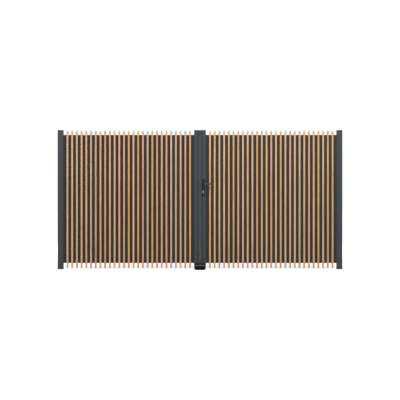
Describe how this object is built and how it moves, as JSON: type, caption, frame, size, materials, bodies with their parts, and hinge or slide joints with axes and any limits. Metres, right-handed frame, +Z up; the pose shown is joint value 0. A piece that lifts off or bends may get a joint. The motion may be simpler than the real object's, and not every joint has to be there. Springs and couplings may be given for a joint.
{
  "type": "aluminium swing gate",
  "caption": "Double-leaf driveway gate with posts: anthracite frames faced with close upright wood-look battens, a lever lock and a black ground stop.",
  "frame": {"origin": "centre of the left post's foot face, on the ground", "axes": "+X along the gate from the left post to the right post, +Y to the back, away from the battens, +Z up"},
  "size_m": [3.64, 0.2785, 1.78],
  "materials": {
    "anthracite_coating": "powder coated, fine texture, matt anthracite",
    "oak_look_coating": "powder coated with a light oak grain film, matt",
    "lock_coating": "satin coated anthracite",
    "hinge_steel": "coated steel, satin",
    "bright_steel": "brushed",
    "nickel_plate": "nickel plated, satin",
    "stop_plastic": "moulded black, fine grain",
    "seal_rubber": "matt black"
  },
  "bodies": {
    "posts": {"left_post": "anthracite_coating", "left_post_cap": "anthracite_coating", "left_post_foot": "anthracite_coating", "left_closing_angle": "anthracite_coating", "left_pintles": "hinge_steel", "right_post": "anthracite_coating", "right_post_cap": "anthracite_coating", "right_post_foot": "anthracite_coating", "right_closing_angle": "anthracite_coating", "right_pintles": "hinge_steel", "stop_base": "stop_plastic", "stop_body": "stop_plastic", "stop_pad": "seal_rubber"},
    "left_leaf": {"left_battens": "oak_look_coating", "left_bottom_rail": "anthracite_coating", "left_centre_strip": "anthracite_coating", "left_hinge_stile": "anthracite_coating", "left_hinge_straps": "hinge_steel", "left_lock_stile": "anthracite_coating", "left_middle_rail": "anthracite_coating", "left_seal": "seal_rubber", "left_sheet": "anthracite_coating", "left_stile_plugs": "anthracite_coating", "left_top_rail": "anthracite_coating", "left_strike": "bright_steel", "drop_bolt_rod": "bright_steel", "drop_bolt_guides": "stop_plastic"},
    "right_leaf": {"right_battens": "oak_look_coating", "right_bottom_rail": "anthracite_coating", "right_centre_strip": "anthracite_coating", "right_hinge_stile": "anthracite_coating", "right_hinge_straps": "hinge_steel", "right_lock_stile": "anthracite_coating", "right_middle_rail": "anthracite_coating", "right_seal": "seal_rubber", "right_sheet": "anthracite_coating", "right_stile_plugs": "anthracite_coating", "right_top_rail": "anthracite_coating", "lock_forend": "bright_steel", "lock_cylinder": "nickel_plate", "front_plate": "lock_coating", "back_plate": "lock_coating"},
    "lever": {"front_lever": "lock_coating", "back_lever": "lock_coating", "lever_spindle": "bright_steel"}
  },
  "joints": [
    {"name": "left_hinge", "type": "hinge", "parent": "posts", "child": "left_leaf", "pos_m": [0.038, 0.052, 0.9], "axis": [0, 0, 1], "range_deg": [0, 95]},
    {"name": "right_hinge", "type": "hinge", "parent": "posts", "child": "right_leaf", "pos_m": [3.532, 0.052, 0.9], "axis": [0, 0, -1], "range_deg": [0, 95]},
    {"name": "lever_turn", "type": "hinge", "parent": "right_leaf", "child": "lever", "pos_m": [1.827, 0, 1.088], "axis": [0, 1, 0], "range_deg": [0, 40], "stiffness_Nm_per_rad": 1, "springref_deg": -34.38}
  ]
}
